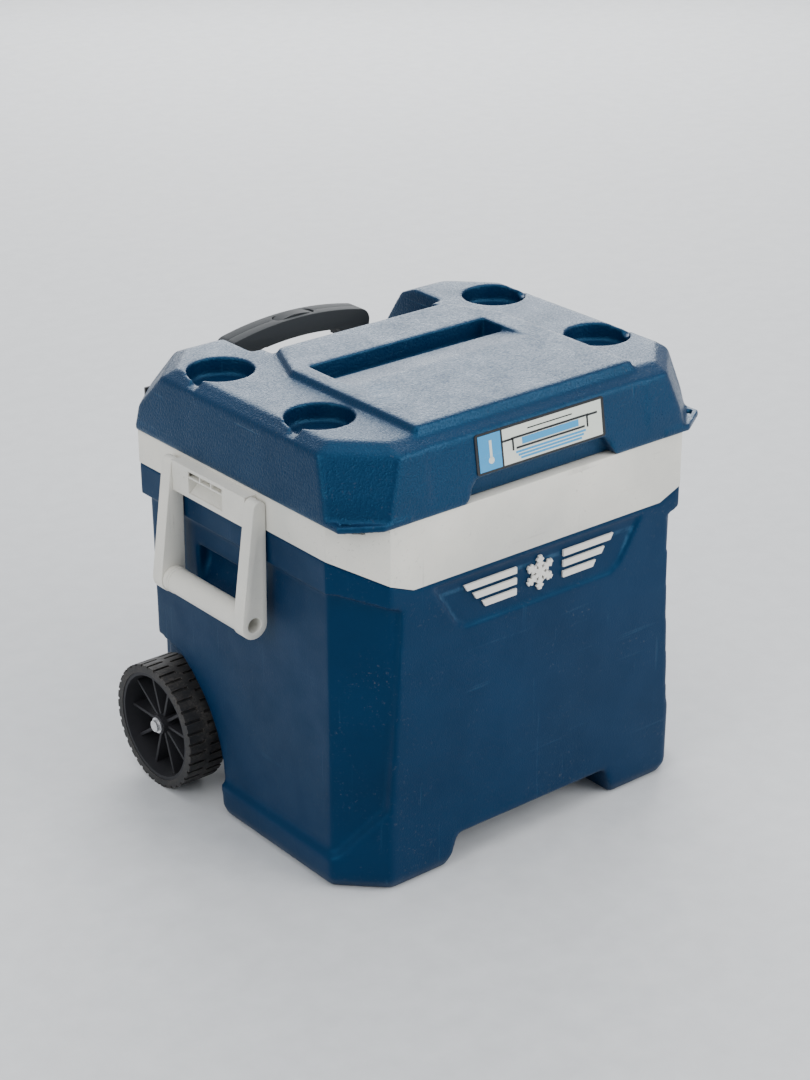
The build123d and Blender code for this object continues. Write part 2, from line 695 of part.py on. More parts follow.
def make_hinge(middle_x):
    """Two screwed leaves with interleaved knuckles, at middle_x."""
    low_x = middle_x - 40
    high_x = middle_x + 40
    pin_bore = HINGE_PIN_RADIUS + PIN_CLEARANCE
    pin_hole = cross_rod(low_x, high_x, HINGE_Y, HINGE_Z, pin_bore)
    pin_seat = cross_rod(low_x, high_x, HINGE_Y, HINGE_Z, HINGE_PIN_RADIUS)
    with BuildPart() as tub_leaf:
        with BuildSketch(upright(HALF_DEPTH + 0.2)):
            with Locations((middle_x, 389)):
                Rectangle(56, 20)
        extrude(amount=-3.2)
        for offset in (-22.5, 22.5):
            with BuildSketch(sideways(middle_x + offset - 5.5)):
                with BuildLine():
                    Polyline(
                        (HALF_DEPTH + 0.4, 388),
                        (HALF_DEPTH + 0.4, HINGE_Z),
                        (HINGE_Y - 5, HINGE_Z),
                        (HINGE_Y + 5, HINGE_Z),
                        (HALF_DEPTH + 3.2, 388),
                        (HALF_DEPTH + 0.4, 388),
                    )
                make_face()
                with Locations((HINGE_Y, HINGE_Z)):
                    Circle(HINGE_KNUCKLE_RADIUS)
            extrude(amount=11)
        add(pin_seat, mode=Mode.SUBTRACT)
        with BuildSketch(upright(HALF_DEPTH)):
            with Locations((middle_x - 11, 385), (middle_x + 11, 385)):
                Circle(2.3)
        extrude(amount=-10, mode=Mode.SUBTRACT)
    with BuildPart() as lid_leaf:
        with BuildSketch(upright(210.2)):
            with Locations((middle_x, 427.5)):
                Rectangle(56, 17)
        extrude(amount=-3.0)
        with BuildSketch(sideways(middle_x - 16.5)):
            with BuildLine():
                Polyline(
                    (210.2, HINGE_Z),
                    (210.2, 425),
                    (213.2, 425),
                    (HINGE_Y + 5, HINGE_Z),
                    (210.2, HINGE_Z),
                )
            make_face()
            with Locations((HINGE_Y, HINGE_Z)):
                Circle(HINGE_KNUCKLE_RADIUS)
        extrude(amount=33)
        add(pin_hole, mode=Mode.SUBTRACT)
        with BuildSketch(upright(210)):
            with Locations((middle_x - 16, 430), (middle_x + 16, 430)):
                Circle(2.3)
        extrude(amount=-10, mode=Mode.SUBTRACT)
    return tub_leaf.part, lid_leaf.part


def screw(plane, spots, length):
    """Round-headed screws at the given spots of a plane, their heads at the plane's front."""
    with BuildPart() as group:
        with BuildSketch(plane):
            with Locations(*spots):
                Circle(SCREW_RADIUS)
        extrude(amount=-length)
        with BuildSketch(plane):
            with Locations(*spots):
                Circle(SCREW_HEAD_RADIUS)
        extrude(amount=1.6)
        with BuildSketch(plane.offset(0.8)):
            with Locations(*spots):
                Rectangle(4.4, 1)
                Rectangle(1, 4.4)
        extrude(amount=1, mode=Mode.SUBTRACT)
    return group.part


for side, side_name in ((-1, "left"), (1, "right")):
    tub_leaf, lid_leaf = make_hinge(side * HINGE_X)
    export(tub_leaf, f"tub_hinge_{side_name}")
    export(lid_leaf, f"lid_hinge_{side_name}")
    pin_middle = side * HINGE_X
    hinge_pin = cross_rod(pin_middle - 28, pin_middle + 28, HINGE_Y, HINGE_Z, HINGE_PIN_RADIUS)
    export(hinge_pin, f"hinge_pin_{side_name}")

rear_face = Plane(origin=(0, BODY_Y + HALF_DEPTH + 3.4, 0), x_dir=(-1, 0, 0), z_dir=(0, 1, 0))
lid_rear_face = Plane(origin=(0, BODY_Y + 213.2, 0), x_dir=(-1, 0, 0), z_dir=(0, 1, 0))
tub_spots = [(side * HINGE_X + offset, 385) for side in (-1, 1) for offset in (-11, 11)]
tub_screws = screw(rear_face, tub_spots, 3.2)
export(tub_screws, "tub_hinge_screws")
lid_spots = [(side * HINGE_X + offset, 430) for side in (-1, 1) for offset in (-16, 16)]
lid_screws = screw(lid_rear_face, lid_spots, 3.0)
export(lid_screws, "lid_hinge_screws")


# ---------------------------------------------------------------- tow handle
def tube(x, low, high, radius, bore):
    """Upright round tube at x in the handle's channel."""
    with BuildPart() as piece:
        with BuildSketch(level(low)):
            with Locations((x, TUBE_Y)):
                Circle(radius)
                Circle(bore, mode=Mode.SUBTRACT)
        extrude(amount=high - low)
    return piece.part


def slab_with_holes(low, high, front, rear, hole_radius):
    """Cross piece that both tubes pass through or stand in."""
    with BuildPart() as piece:
        with BuildSketch(level(low)):
            with Locations((0, (front + rear) / 2)):
                RectangleRounded(2 * (HANDLE_CHANNEL_HALF_X - 1.5), rear - front, 4)
            with Locations((-TUBE_X, TUBE_Y), (TUBE_X, TUBE_Y)):
                Circle(hole_radius, mode=Mode.SUBTRACT)
        extrude(amount=high - low)
    return piece.part


handle_front = HANDLE_CHANNEL_Y + 0.3
bezel_low = HANDLE_TOP_Z - BEZEL_HEIGHT
handle_bezel = slab_with_holes(bezel_low, HANDLE_TOP_Z, handle_front, HANDLE_REAR_Y, OUTER_TUBE_RADIUS)
export(handle_bezel, "handle_bezel")
with BuildPart() as handle_foot:
    add(slab_with_holes(52, 92, handle_front, HANDLE_REAR_Y, OUTER_TUBE_RADIUS))
    with BuildSketch(level(52)):
        with Locations((-TUBE_X, TUBE_Y), (TUBE_X, TUBE_Y)):
            Circle(OUTER_TUBE_RADIUS + 1)
    extrude(amount=4)
export(handle_foot.part, "handle_foot")

bezel_face = Plane(origin=(0, BODY_Y + 227, 0), x_dir=(-1, 0, 0), z_dir=(0, 1, 0))
with BuildPart() as handle_screws:
    with BuildSketch(bezel_face.offset(0.05)):
        with GridLocations(60, 0, 2, 1):
            with Locations((0, HANDLE_TOP_Z - 17), (0, 72)):
                Circle(4)
    extrude(amount=1.5)
    with BuildSketch(bezel_face.offset(0.9)):
        with GridLocations(60, 0, 2, 1):
            with Locations((0, HANDLE_TOP_Z - 17), (0, 72)):
                Rectangle(4.4, 1)
                Rectangle(1, 4.4)
    extrude(amount=1, mode=Mode.SUBTRACT)
export(handle_screws.part, "handle_screws")

outer_bore = OUTER_TUBE_RADIUS - TUBE_WALL
mid_bore = MID_TUBE_RADIUS - TUBE_WALL
inner_bore = INNER_TUBE_RADIUS - TUBE_WALL
for side, side_name in ((-1, "left"), (1, "right")):
    x = side * TUBE_X
    export(tube(x, 56, HANDLE_TOP_Z, OUTER_TUBE_RADIUS, outer_bore), f"outer_tube_{side_name}")
    with BuildPart() as outer_bushing:
        add(tube(x, HANDLE_TOP_Z - 22, HANDLE_TOP_Z, outer_bore, MID_TUBE_RADIUS + SLIDE_GAP))
        lip_radius = OUTER_TUBE_RADIUS + 1.4
        add(tube(x, HANDLE_TOP_Z, HANDLE_TOP_Z + 5, lip_radius, MID_TUBE_RADIUS + SLIDE_GAP))
    export(outer_bushing.part, f"outer_bushing_{side_name}")
    mid_top = HANDLE_TOP_Z + 8
    export(tube(x, 64, mid_top, MID_TUBE_RADIUS, mid_bore), f"mid_tube_{side_name}")
    with BuildPart() as mid_bushing:
        add(tube(x, mid_top - 18, mid_top, mid_bore, INNER_TUBE_RADIUS + SLIDE_GAP))
        add(tube(x, mid_top, mid_top + 4, MID_TUBE_RADIUS + 1.2, INNER_TUBE_RADIUS + SLIDE_GAP))
    export(mid_bushing.part, f"mid_bushing_{side_name}")
    export(tube(x, 64, 84, outer_bore - SLIDE_GAP, MID_TUBE_RADIUS), f"mid_guide_{side_name}")
    export(tube(x, 90, GRIP_FOOT_Z + 10, INNER_TUBE_RADIUS, inner_bore), f"inner_tube_{side_name}")
    export(tube(x, 90, 108, mid_bore - SLIDE_GAP, INNER_TUBE_RADIUS), f"inner_guide_{side_name}")


with BuildPart() as grip_whole:
    with BuildSketch(upright(GRIP_FRONT_Y)):
        with BuildLine():
            Polyline((-62, GRIP_FOOT_Z), (-97, GRIP_FOOT_Z), (-98.5, 452))
            ThreePointArc((-98.5, 452), (-95, 461), (-86, 466))
            ThreePointArc((-86, 466), (0, GRIP_TOP_Z), (86, 466))
            ThreePointArc((86, 466), (95, 461), (98.5, 452))
            Polyline((98.5, 452), (97, GRIP_FOOT_Z), (62, GRIP_FOOT_Z))
            ThreePointArc((62, GRIP_FOOT_Z), (58, 446), (46, 450))
            ThreePointArc((46, 450), (0, 453), (-46, 450))
            ThreePointArc((-46, 450), (-58, 446), (-62, GRIP_FOOT_Z))
        make_face()
    extrude(amount=GRIP_FRONT_Y - GRIP_REAR_Y)

with BuildPart() as grip_cavity:
    with BuildSketch(level(GRIP_FOOT_Z - 1)):
        with Locations((-TUBE_X, TUBE_Y), (TUBE_X, TUBE_Y)):
            Circle(INNER_TUBE_RADIUS)
    extrude(amount=11)
    with BuildSketch(level(BUTTON_FLOOR_Z)):
        with Locations((0, TUBE_Y)):
            RectangleRounded(53, 15, 6)
    extrude(amount=30)
    with BuildSketch(level(BUTTON_FLOOR_Z - 8)):
        with Locations((0, TUBE_Y)):
            Circle(4.6)
    extrude(amount=9)

with BuildPart() as grip_front:
    add(grip_whole.part)
    add(grip_cavity.part, mode=Mode.SUBTRACT)
    split(bisect_by=Plane(origin=(0, BODY_Y + TUBE_Y, 0), z_dir=(0, -1, 0)))
export(grip_front.part, "grip_front")

with BuildPart() as grip_rear:
    add(grip_whole.part)
    add(grip_cavity.part, mode=Mode.SUBTRACT)
    split(bisect_by=Plane(origin=(0, BODY_Y + TUBE_Y, 0), z_dir=(0, 1, 0)))
export(grip_rear.part, "grip_rear")

with BuildPart() as release_button:
    with BuildSketch(upright(TUBE_Y - 7)):
        with BuildLine():
            Polyline((-26, 472.5), (-26, BUTTON_BASE_Z), (26, BUTTON_BASE_Z), (26, 472.5))
            ThreePointArc((26, 472.5), (0, 477.5), (-26, 472.5))
        make_face()
    extrude(amount=-14)
    fillet(release_button.edges().filter_by(Axis.Z), 6)
export(release_button.part, "release_button")

with BuildPart() as button_spring:
    spring_low = BUTTON_FLOOR_Z - 7.8
    spring_height = BUTTON_BASE_Z - spring_low - 0.4
    with BuildLine(level(spring_low + 0.4)):
        Helix(pitch=2.2, height=spring_height - 0.8, radius=3.4, center=(0, TUBE_Y, 0))
    with BuildSketch(Plane(origin=(3.4, BODY_Y + TUBE_Y, spring_low + 0.4), z_dir=(0, 1, 0.1))):
        Circle(0.4)
    sweep()
export(button_spring.part, "button_spring")


# ---------------------------------------------------------------- axle and wheels
export(cross_rod(-AXLE_HALF_LENGTH, AXLE_HALF_LENGTH, WHEEL_Y, WHEEL_RADIUS, AXLE_RADIUS), "axle")


def ring(side, near, far, radius, bore, y=WHEEL_Y, z=WHEEL_RADIUS):
    """Ring round an axis along X, between two distances from the middle of the object."""
    with BuildPart() as piece:
        with BuildSketch(sideways(min(side * near, side * far))):
            with Locations((y, z)):
                Circle(radius)
                if bore:
                    Circle(bore, mode=Mode.SUBTRACT)
        extrude(amount=far - near)
    return piece.part


wheel_inner_x = WHEEL_OUTER_X - WHEEL_WIDTH
rim_radius = WHEEL_RADIUS - TYRE_DEPTH
for side, side_name in ((-1, "left"), (1, "right")):
    with BuildPart() as rim:
        add(ring(side, wheel_inner_x + 1, WHEEL_OUTER_X - 1, rim_radius, rim_radius - 4))
        add(ring(side, wheel_inner_x + 2, WHEEL_OUTER_X - 6, 11, AXLE_RADIUS + PIN_CLEARANCE))
        with BuildSketch(sideways(min(side * (wheel_inner_x + 8), side * (WHEEL_OUTER_X - 12)))):
            with Locations((WHEEL_Y, WHEEL_RADIUS)):
                with PolarLocations((10.5 + rim_radius - 3) / 2, SPOKE_COUNT):
                    Rectangle(rim_radius - 3 - 10.5, 3.2)
        extrude(amount=WHEEL_WIDTH - 20)
    export(rim.part, f"wheel_{side_name}")

    with BuildPart() as tyre:
        add(ring(side, wheel_inner_x, WHEEL_OUTER_X, WHEEL_RADIUS, rim_radius))
        inner_row = (wheel_inner_x - 1, wheel_inner_x + 20, 0)
        outer_row = (WHEEL_OUTER_X - 20, WHEEL_OUTER_X + 1, 5)
        for near, far, start in (inner_row, outer_row):
            with BuildSketch(sideways(min(side * near, side * far))):
                with Locations((WHEEL_Y, WHEEL_RADIUS)):
                    with PolarLocations(WHEEL_RADIUS, TREAD_COUNT, start_angle=start):
                        Rectangle(5, 3.6)
            extrude(amount=far - near, mode=Mode.SUBTRACT)
    export(tyre.part, f"tyre_{side_name}")

    with BuildPart() as axle_block:
        with BuildSketch(sideways(side * 190 - 7)):
            with Locations((WHEEL_Y, 65.5)):
                Rectangle(2 * AXLE_GROOVE_HALF - 0.4, 36)
            with Locations((WHEEL_Y, WHEEL_RADIUS)):
                Circle(AXLE_RADIUS, mode=Mode.SUBTRACT)
        extrude(amount=14)
    export(axle_block.part, f"axle_block_{side_name}")
    export(ring(side, 200, wheel_inner_x + 1.6, 9, AXLE_RADIUS), f"wheel_spacer_{side_name}")
    with BuildPart() as axle_cap:
        add(ring(side, WHEEL_OUTER_X - 5.5, WHEEL_OUTER_X - 4, 9, AXLE_RADIUS))
        add(ring(side, WHEEL_OUTER_X - 4, AXLE_HALF_LENGTH + 0.2, 6.5, AXLE_RADIUS))
        add(ring(side, AXLE_HALF_LENGTH + 0.2, AXLE_HALF_LENGTH + 1.6, 6.5, 0))
    export(axle_cap.part, f"axle_cap_{side_name}")


# ---------------------------------------------------------------- drain
def drain_ring(near, far, radius, bore):
    """Ring round the drain's axis on the right side."""
    return ring(1, near, far, radius, bore, DRAIN_Y, DRAIN_Z)


with BuildPart() as drain_spout:
    add(drain_ring(CAVITY_HALF_X - 3, CAVITY_HALF_X - 0.1, 16, 7))
    add(drain_ring(CAVITY_HALF_X - 0.5, 244, DRAIN_RADIUS, 7))
export(drain_spout.part, "drain_spout")
export(drain_ring(234.6, 236.6, 17, DRAIN_RADIUS), "drain_gasket")
with BuildPart() as drain_nut:
    with BuildSketch(sideways(236.6)):
        with Locations((DRAIN_Y, DRAIN_Z)):
            RegularPolygon(18, 6)
            Circle(DRAIN_RADIUS, mode=Mode.SUBTRACT)
    extrude(amount=4)
export(drain_nut.part, "drain_nut")
with BuildPart() as drain_cap:
    add(drain_ring(240.9, 246, 14, DRAIN_RADIUS + PIN_CLEARANCE))
    add(drain_ring(244.5, 248, 14, 0))
    with BuildSketch(sideways(248)):
        with Locations((DRAIN_Y, DRAIN_Z)):
            Rectangle(22, 4)
    extrude(amount=4)
export(drain_cap.part, "drain_cap")
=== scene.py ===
import json
import math

import bpy
from bpy.props import FloatProperty, FloatVectorProperty, IntProperty, PointerProperty
from mathutils import Matrix, Vector

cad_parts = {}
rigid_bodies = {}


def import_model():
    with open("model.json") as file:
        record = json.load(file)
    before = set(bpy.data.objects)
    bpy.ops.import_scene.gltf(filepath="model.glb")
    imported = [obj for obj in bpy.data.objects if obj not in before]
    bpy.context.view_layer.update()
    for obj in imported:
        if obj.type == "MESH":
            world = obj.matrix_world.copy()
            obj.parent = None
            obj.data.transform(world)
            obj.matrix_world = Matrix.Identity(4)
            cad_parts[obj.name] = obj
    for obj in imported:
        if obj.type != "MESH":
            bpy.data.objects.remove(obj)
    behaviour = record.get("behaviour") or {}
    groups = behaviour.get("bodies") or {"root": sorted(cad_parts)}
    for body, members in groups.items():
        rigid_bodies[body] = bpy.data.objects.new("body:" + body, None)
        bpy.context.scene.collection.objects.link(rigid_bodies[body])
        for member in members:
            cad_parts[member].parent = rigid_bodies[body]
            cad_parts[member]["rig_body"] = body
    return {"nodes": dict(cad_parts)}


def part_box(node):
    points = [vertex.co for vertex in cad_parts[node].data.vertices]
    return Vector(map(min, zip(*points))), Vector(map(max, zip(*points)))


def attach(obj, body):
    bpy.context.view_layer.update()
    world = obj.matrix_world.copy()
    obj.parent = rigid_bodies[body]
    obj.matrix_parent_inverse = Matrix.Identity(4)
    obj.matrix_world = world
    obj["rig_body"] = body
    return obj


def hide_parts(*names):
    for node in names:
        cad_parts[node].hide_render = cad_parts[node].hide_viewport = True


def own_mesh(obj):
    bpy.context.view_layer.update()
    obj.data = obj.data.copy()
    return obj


bl_info = {
    "name": "Wheeled Cooler",
    "version": (1, 0, 0),
    "blender": (4, 5, 0),
    "location": "View3D > Sidebar > Cooler",
    "description": "Finishes a rolling cooler: tub, lid, bails, tow handle, wheels and drain",
    "category": "Object",
}

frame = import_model()
NODES = frame["nodes"]

SIDES = ("left", "right")

# The lid's cup holders: middles, and the reach of their rims with a little of the top round them.
CUP_SPOTS = ((-0.187, -0.0938), (0.187, -0.0938), (-0.187, 0.0762), (0.187, 0.0762))
CUP_REACH = 0.0405
CUP_FLOOR = 0.46

# The spout of each cup: which way it runs, from where to where, how wide and how deep it is.
# Lengths along it start at the middle of the cup.
SPOUT_LEAN = (0.967, -0.255)
SPOUT_CUT = (0.030, 0.052)
SPOUT_ZONE = (0.03, 0.055)
SPOUT_ZONE_HALF_WIDTH = 0.011
SPOUT_ZONE_BASE = 0.478
SPOUT_FLOOR_REACH = (0.034, 0.0435)
SPOUT_HALF_WIDTH = 0.0065
SPOUT_FLOOR = 0.4835
SPOUT_FLOOR_HALF_WIDTH = 0.0098
SPOUT_FLOOR_BASE = 0.4795
SPOUT_FOAM_HALF_WIDTH = 0.0102
SPOUT_FOAM_TOP = 0.479
ABOVE_LID = 0.5

# How far the skins are rounded: 1 is fully rounded, 0 is left as modelled.
CRISP = 0.15
TUB_SOFT = 0.22
TUB_BADGE_SOFT = 0.08
BADGE_HALF_WIDTH = 0.15
BADGE_HEIGHTS = (0.27, 0.345)
BADGE_FRONT = -0.2
TUB_FEET_TOP = 0.14
TUB_FEET_RISE = 0.08
LID_RIM = 0.4195
LID_RIM_RISE = 0.006
SLOT_HALF_LENGTH = 0.126
SLOT_DEPTHS = (-0.07, 0.02)
SLOT_FLOOR = 0.465

# Small sizes: welded corners, flats made one, sleeve seams and the print.
WELD = 0.00002
FLAT_ANGLE = math.radians(0.6)
SEAM_RADIUS = 0.0007
SEAM_INSETS = (0.006, 0.01)
PRINT_FILM = 0.0002
LABEL_SKIN = 0.0004

LENS = 80.03
CAMERA_PLACE = (-1.5034, -1.8620, 1.3624)
CAMERA_RIGHT = (0.7776, -0.6287, -0.0041)
CAMERA_UP = (0.2642, 0.3209, 0.9095)
CAMERA_BACK = (-0.5705, -0.7084, 0.4157)
LIGHT_AIM = (0, 0, 0.3)


# ------------------------------------------------------------------ settings
class CoolerColours(bpy.types.PropertyGroup):
    """Colours of the mouldings."""

    shell: FloatVectorProperty(
        name="Shell", description="Blue of the tub and the lid", subtype="COLOR",
        default=(0.0, 0.017, 0.056), size=3, min=0, max=1)
    shell_dark: FloatVectorProperty(
        name="Shell, dark", description="Deeper blue that the mouldings drift to", subtype="COLOR",
        default=(0.0, 0.0125, 0.044), size=3, min=0, max=1)
    cream: FloatVectorProperty(
        name="Collar", description="Cream of the collar and the bails", subtype="COLOR",
        default=(0.8, 0.77, 0.69), size=3, min=0, max=1)
    black: FloatVectorProperty(
        name="Black plastic", description="Tow handle and wheels", subtype="COLOR",
        default=(0.012, 0.013, 0.016), size=3, min=0, max=1)
    liner: FloatVectorProperty(
        name="Liner", description="White of the food liner", subtype="COLOR",
        default=(0.82, 0.84, 0.84), size=3, min=0, max=1)


class CoolerSizes(bpy.types.PropertyGroup):
    """Sizes that the finish adds to the mouldings."""

    tub_grain: FloatProperty(
        name="Tub facet", description="Facet size of the tub's rounded skin", unit="LENGTH",
        default=0.0026, min=0.001, max=0.01)
    lid_grain: FloatProperty(
        name="Lid facet", description="Facet size of the lid's rounded skin", unit="LENGTH",
        default=0.002, min=0.001, max=0.01)
    trim_edge: FloatProperty(
        name="Trim edge", description="Rounding of the collar and the bails", unit="LENGTH",
        default=0.0016, min=0.0, max=0.01)
    grip_edge: FloatProperty(
        name="Grip edge", description="Rounding of the tow handle's grip", unit="LENGTH",
        default=0.005, min=0.0, max=0.01)
    segments: IntProperty(
        name="Segments", description="Faces across a rounded edge", default=3, min=1, max=8)


def colours():
    return bpy.context.scene.cooler_colours


def sizes():
    return bpy.context.scene.cooler_sizes


# ------------------------------------------------------------------ material helpers
def new_material(name):
    """A new material, its node tree and the tree's Principled shader."""
    mat = bpy.data.materials.new(name)
    mat.use_nodes = True
    tree = mat.node_tree
    shader = tree.nodes["Principled BSDF"]
    return mat, tree, shader


def node(tree, kind, **values):
    """A new node with some of its settings."""
    item = tree.nodes.new(kind)
    for key, value in values.items():
        setattr(item, key, value)
    return item


def noise(tree, coords, scale, detail=4.0, rough=0.55, stretch=(1, 1, 1)):
    """Noise on object coordinates, stretched along an axis where stretch isn't 1."""
    mapping = node(tree, "ShaderNodeMapping")
    mapping.inputs["Scale"].default_value = stretch
    tree.links.new(coords, mapping.inputs["Vector"])
    tex = node(tree, "ShaderNodeTexNoise")
    tex.inputs["Scale"].default_value = scale
    tex.inputs["Detail"].default_value = detail
    tex.inputs["Roughness"].default_value = rough
    tree.links.new(mapping.outputs["Vector"], tex.inputs["Vector"])
    return tex.outputs["Fac"]


def ramp(tree, source, low, high, out_low=0.0, out_high=1.0):
    """Stretches a range of a value to another range, and holds it at the ends."""
    item = node(tree, "ShaderNodeMapRange")
    item.inputs["From Min"].default_value = low
    item.inputs["From Max"].default_value = high
    item.inputs["To Min"].default_value = out_low
    item.inputs["To Max"].default_value = out_high
    tree.links.new(source, item.inputs["Value"])
    return item.outputs["Result"]


def maths(tree, operation, a, b):
    """A sum on two values; each is a number or a socket."""
    item = node(tree, "ShaderNodeMath", operation=operation)
    for socket, value in zip(item.inputs, (a, b)):
        if isinstance(value, (int, float)):
            socket.default_value = value
        else:
            tree.links.new(value, socket)
    return item.outputs["Value"]


def mix(tree, factor, a, b):
    """Blend of two colours; each is a colour or a socket."""
    item = node(tree, "ShaderNodeMix", data_type="RGBA")
    tree.links.new(factor, item.inputs[0])
    for socket, value in ((item.inputs[6], a), (item.inputs[7], b)):
        if hasattr(value, "is_linked"):
            tree.links.new(value, socket)
        else:
            socket.default_value = (*value, 1.0)
    return item.outputs[2]


def edge_mask(tree, radius, start=0.99, full=0.8):
    """1 along convex and concave edges, 0 on flats."""
    bevel = node(tree, "ShaderNodeBevel", samples=8)
    bevel.inputs["Radius"].default_value = radius
    geometry = node(tree, "ShaderNodeNewGeometry")
    dot = node(tree, "ShaderNodeVectorMath", operation="DOT_PRODUCT")
    tree.links.new(bevel.outputs["Normal"], dot.inputs[0])
    tree.links.new(geometry.outputs["Normal"], dot.inputs[1])
    return ramp(tree, dot.outputs["Value"], start, full)


def bump(tree, height, strength, distance, normal=None):
    """Normals that follow a height, on top of other normals where they're given."""
    item = node(tree, "ShaderNodeBump")
    item.inputs["Strength"].default_value = strength
    item.inputs["Distance"].default_value = distance
    tree.links.new(height, item.inputs["Height"])
    if normal is not None:
        tree.links.new(normal, item.inputs["Normal"])
    return item.outputs["Normal"]


def scratches(tree, coords, scale, stretch, turn):
    """Thin scattered lines, as handling leaves on a moulding."""
    mapping = node(tree, "ShaderNodeMapping")
    mapping.inputs["Rotation"].default_value = turn
    mapping.inputs["Scale"].default_value = stretch
    tree.links.new(coords, mapping.inputs["Vector"])
    tex = node(tree, "ShaderNodeTexNoise")
    tex.inputs["Scale"].default_value = scale
    tex.inputs["Detail"].default_value = 2.0
    tree.links.new(mapping.outputs["Vector"], tex.inputs["Vector"])
    return ramp(tree, tex.outputs["Fac"], 0.68, 0.74)


def plastic(name, base, other, worn_and_highlight, rough=(0.38, 0.55), grain=900.0, grain_depth=0.00012,
            edge_wear_and_highlight=0.5, edge=0.0015, dirt=(0.2, 0.18, 0.15), dirt_amount=0.25, scratch=0.25,
            rounding=0.0, gleam=0.5, tint=(1.0, 1.0, 1.0), edge_range=(0.99, 0.8),
            sparkle=0.0):
    """Moulded plastic: drifting colour, stipple, scuffed edges that are partly a painted edge
    highlight, scratches and dirt.
    """
    mat, tree, shader = new_material(name)
    shader.inputs["Specular IOR Level"].default_value = gleam
    shader.inputs["Specular Tint"].default_value = (*tint, 1.0)
    coords = node(tree, "ShaderNodeTexCoord").outputs["Object"]
    drift = noise(tree, coords, 6.0, 5.0)
    colour = mix(tree, ramp(tree, drift, 0.35, 0.65), base, other)
    specks = noise(tree, coords, 260.0, 3.0, 0.7)
    patches = noise(tree, coords, 14.0, 6.0, 0.65)
    soil = maths(tree, "MULTIPLY", ramp(tree, specks, 0.6, 0.72), ramp(tree, patches, 0.45, 0.7))
    colour = mix(tree, maths(tree, "MULTIPLY", soil, dirt_amount), colour, dirt)
    lines = maths(
        tree, "MAXIMUM",
        scratches(tree, coords, 150.0, (1.0, 1.0, 0.035), (0.3, 0.15, 0.2)),
        scratches(tree, coords, 130.0, (0.04, 0.04, 1.0), (0.25, -0.3, 0.5)))
    lines = maths(tree, "MULTIPLY", lines, ramp(tree, patches, 0.45, 0.62))
    colour = mix(tree, maths(tree, "MULTIPLY", lines, scratch), colour, worn_and_highlight)
    # Edges are mixed toward the worn colour: partly rubbed wear, partly a painted edge highlight.
    edges = edge_mask(tree, edge, *edge_range)
    edge_breakup = ramp(tree, noise(tree, coords, 90.0, 5.0, 0.7), 0.35, 0.7)
    rubbed_and_highlit_edges = maths(tree, "MULTIPLY", edges, edge_breakup)
    colour = mix(tree, maths(tree, "MULTIPLY", rubbed_and_highlit_edges, edge_wear_and_highlight), colour, worn_and_highlight)
    tree.links.new(colour, shader.inputs["Base Color"])
    gloss = ramp(tree, noise(tree, coords, 24.0, 4.0), 0.3, 0.7, rough[0], rough[1])
    gloss = maths(tree, "ADD", gloss, maths(tree, "MULTIPLY", soil, 0.2))
    stipple = noise(tree, coords, grain, 2.0, 0.6)
    if sparkle > 0:
        gloss = maths(tree, "ADD", gloss, ramp(tree, stipple, 0.35, 0.65, -sparkle, sparkle))
    tree.links.new(gloss, shader.inputs["Roughness"])
    height = maths(tree, "SUBTRACT", stipple, maths(tree, "MULTIPLY", lines, 0.6))
    rounded = None
    if rounding > 0:
        corner = node(tree, "ShaderNodeBevel", samples=6)
        corner.inputs["Radius"].default_value = rounding
        rounded = corner.outputs["Normal"]
    tree.links.new(bump(tree, height, 0.6, grain_depth, rounded), shader.inputs["Normal"])
    return mat


def metal(name, base, other, rough, stretch):
    """Drawn or turned metal with fine lines."""
    mat, tree, shader = new_material(name)
    shader.inputs["Metallic"].default_value = 1.0
    coords = node(tree, "ShaderNodeTexCoord").outputs["Object"]
    lines = noise(tree, coords, 900.0, 3.0, 0.6, stretch)
    patches = noise(tree, coords, 30.0, 4.0)
    colour = mix(tree, ramp(tree, patches, 0.3, 0.7), base, other)
    tree.links.new(colour, shader.inputs["Base Color"])
    tree.links.new(ramp(tree, lines, 0.2, 0.8, rough[0], rough[1]), shader.inputs["Roughness"])
    tree.links.new(bump(tree, lines, 0.3, 0.00003), shader.inputs["Normal"])
    return mat


def rubber(name, base, dust, dust_amount):
    """Tread or seal rubber with dust in the low places."""
    mat, tree, shader = new_material(name)
    coords = node(tree, "ShaderNodeTexCoord").outputs["Object"]
    cloud = noise(tree, coords, 45.0, 6.0, 0.7)
    grit = noise(tree, coords, 420.0, 3.0, 0.7)
    amount = maths(tree, "MULTIPLY", ramp(tree, cloud, 0.42, 0.72), ramp(tree, grit, 0.35, 0.7))
    colour = mix(tree, maths(tree, "MULTIPLY", amount, dust_amount), base, dust)
    edges = maths(tree, "MULTIPLY", edge_mask(tree, 0.0012), ramp(tree, grit, 0.3, 0.6))
    colour = mix(tree, maths(tree, "MULTIPLY", edges, 0.35), colour, dust)
    tree.links.new(colour, shader.inputs["Base Color"])
    tree.links.new(ramp(tree, cloud, 0.3, 0.7, 0.55, 0.8), shader.inputs["Roughness"])
    tree.links.new(bump(tree, grit, 0.6, 0.0002), shader.inputs["Normal"])
    return mat


def foam(name):
    """Cut foam with small cells."""
    mat, tree, shader = new_material(name)
    coords = node(tree, "ShaderNodeTexCoord").outputs["Object"]
    cells = node(tree, "ShaderNodeTexVoronoi")
    cells.inputs["Scale"].default_value = 500.0
    tree.links.new(coords, cells.inputs["Vector"])
    drift = noise(tree, coords, 20.0)
    colour = mix(tree, drift, (0.75, 0.62, 0.36), (0.84, 0.74, 0.5))
    tree.links.new(colour, shader.inputs["Base Color"])
    tree.links.new(ramp(tree, drift, 0.3, 0.7, 0.8, 0.95), shader.inputs["Roughness"])
    tree.links.new(bump(tree, cells.outputs["Distance"], 0.6, 0.0003), shader.inputs["Normal"])
    return mat


